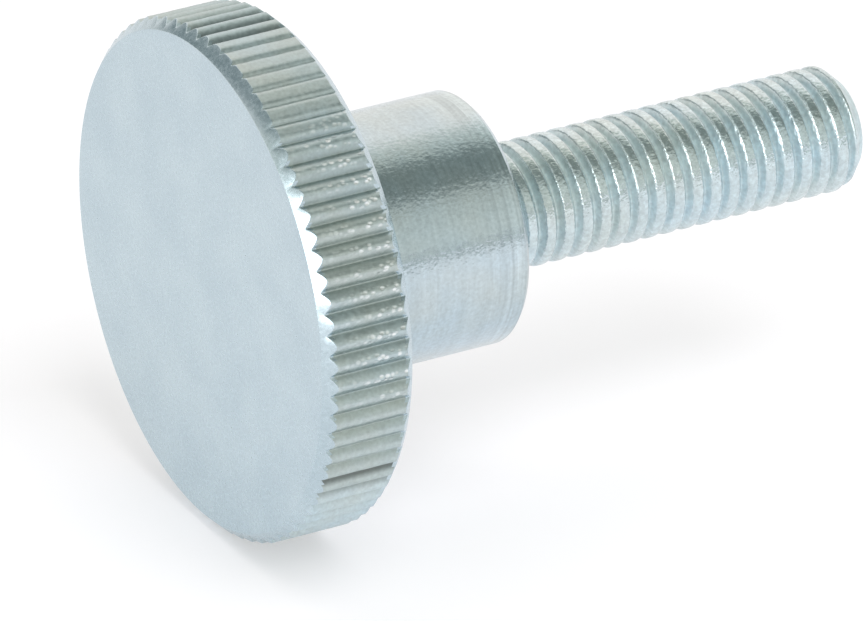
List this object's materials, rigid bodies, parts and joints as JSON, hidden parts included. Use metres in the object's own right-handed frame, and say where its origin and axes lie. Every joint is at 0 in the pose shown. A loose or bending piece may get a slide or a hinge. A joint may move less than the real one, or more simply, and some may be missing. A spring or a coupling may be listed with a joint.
{
  "type": "knurled thumb screw",
  "caption": "High-form thumb screw turned from one bar: a round, straight-knurled head to grip, a plain collar whose end is the seat, and a threaded shank with a chamfered tip.",
  "frame": {"origin": "centre of the flat face of the head, on which the screw stands", "axes": "+Z along the screw's axis, from the head to the tip of the shank"},
  "size_m": [0.0202, 0.0202, 0.0277],
  "materials": {
    "zinc_plated_steel": "turned steel with bright blue zinc plating, satin"
  },
  "bodies": {
    "root": {"thumb_screw": "zinc_plated_steel"}
  },
  "joints": []
}
